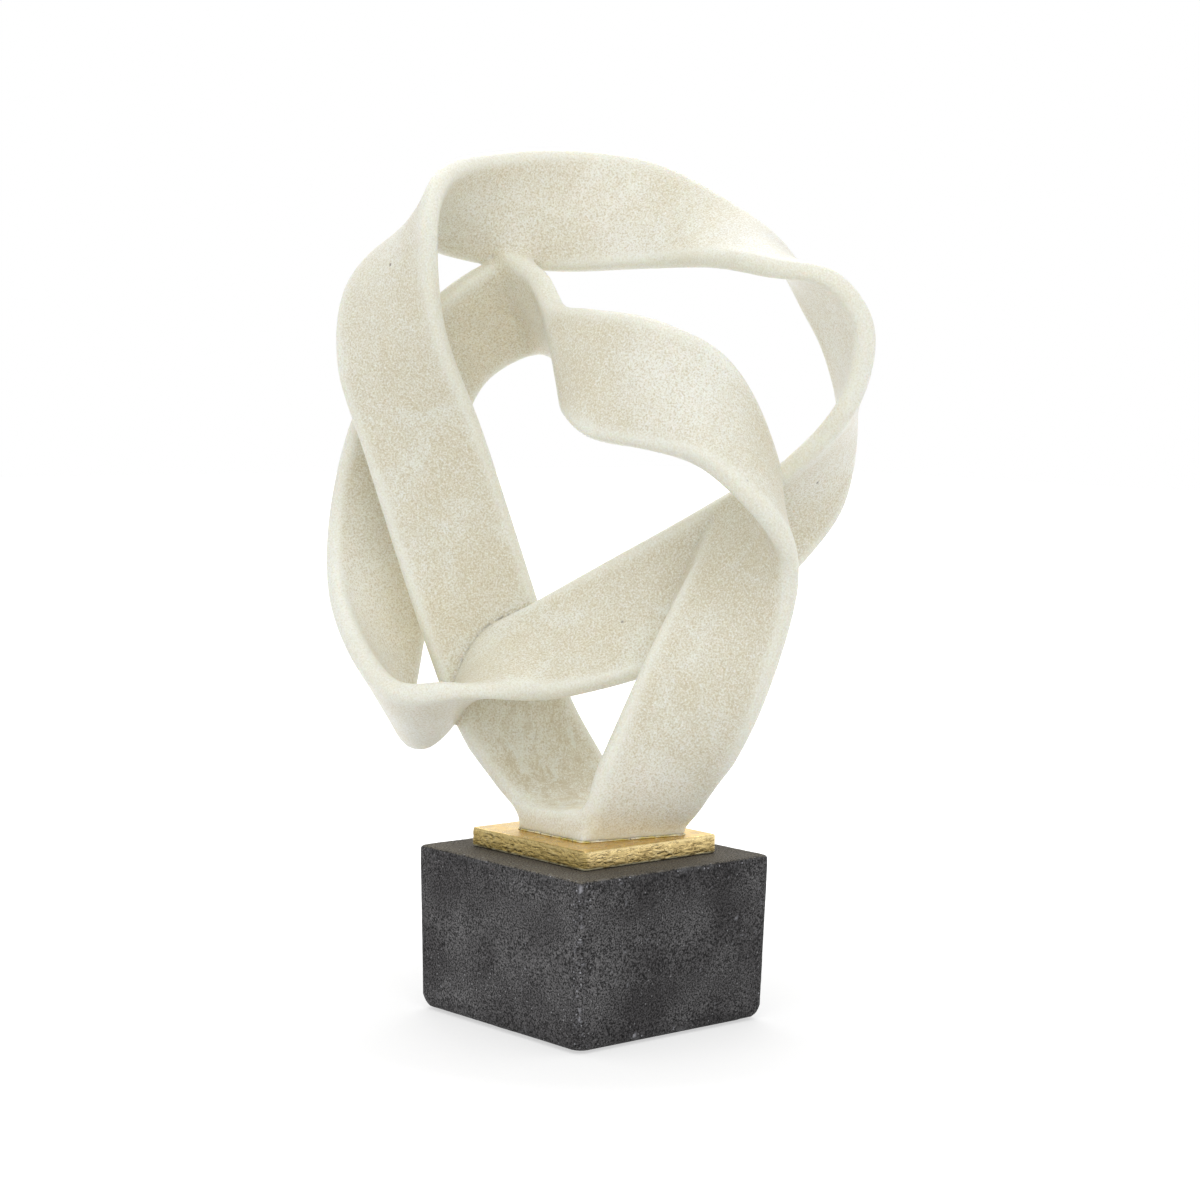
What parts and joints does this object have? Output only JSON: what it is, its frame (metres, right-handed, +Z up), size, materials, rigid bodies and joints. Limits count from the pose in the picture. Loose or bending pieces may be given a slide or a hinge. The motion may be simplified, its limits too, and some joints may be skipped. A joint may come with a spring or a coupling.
{
  "type": "loop sculpture",
  "caption": "Tabletop sculpture: one closed band of cast pale quartz, turned over on itself in an upright loop, on a gilded plate and a dark square stone block.",
  "frame": {"origin": "middle of the felt's underside, on the block's upright axis", "axes": "+Z up; +X along the block's front edge that runs to the right in the picture; +Y along the one that runs to the left"},
  "size_m": [0.252, 0.2633, 0.4898],
  "materials": {
    "quartz": "fine-grained cast quartz, ivory, slightly glossy",
    "gold": "gold leaf over a hammered plate with rough edges",
    "stone": "charcoal stone, matt and mottled, with small pits and chips",
    "felt": "thin black felt",
    "steel": "plain zinc-coated steel"
  },
  "bodies": {
    "root": {"quartz_loop": "quartz", "gilded_plate": "gold", "base_block": "stone", "base_felt": "felt", "stud_left": "steel", "stud_washer_left": "steel", "stud_nut_left": "steel", "stud_right": "steel", "stud_washer_right": "steel", "stud_nut_right": "steel"}
  },
  "joints": []
}
